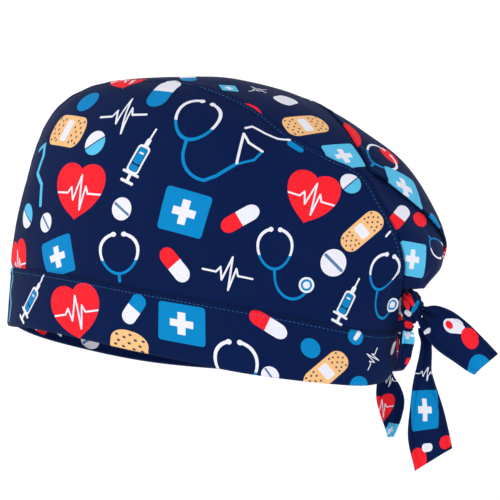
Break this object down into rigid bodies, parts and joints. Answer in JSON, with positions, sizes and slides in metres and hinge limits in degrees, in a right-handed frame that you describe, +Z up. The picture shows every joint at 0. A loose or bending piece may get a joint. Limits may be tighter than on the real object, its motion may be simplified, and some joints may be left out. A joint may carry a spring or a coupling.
{
  "type": "surgical scrub cap",
  "caption": "Soft cloth scrub cap with a deep band, domed side and crown panels, a back pouch and knotted ties hanging at the nape.",
  "frame": {"origin": "middle of the head opening, where the cap is held on a head", "axes": "+Z up as worn, -Y toward the forehead, +X toward the wearer's left"},
  "size_m": [0.1711, 0.2907, 0.2246],
  "materials": {
    "printed_cotton": "matt plain-weave cotton with a small medical print"
  },
  "bodies": {
    "root": {"headband": "printed_cotton", "side_panel_left": "printed_cotton", "side_panel_right": "printed_cotton", "crown_panel": "printed_cotton", "back_pouch": "printed_cotton", "tie_knot": "printed_cotton", "tie_wrap_lower": "printed_cotton", "tie_tail_out": "printed_cotton", "tie_tail_down": "printed_cotton", "tie_loop": "printed_cotton", "tie_tail_under": "printed_cotton"}
  },
  "joints": []
}
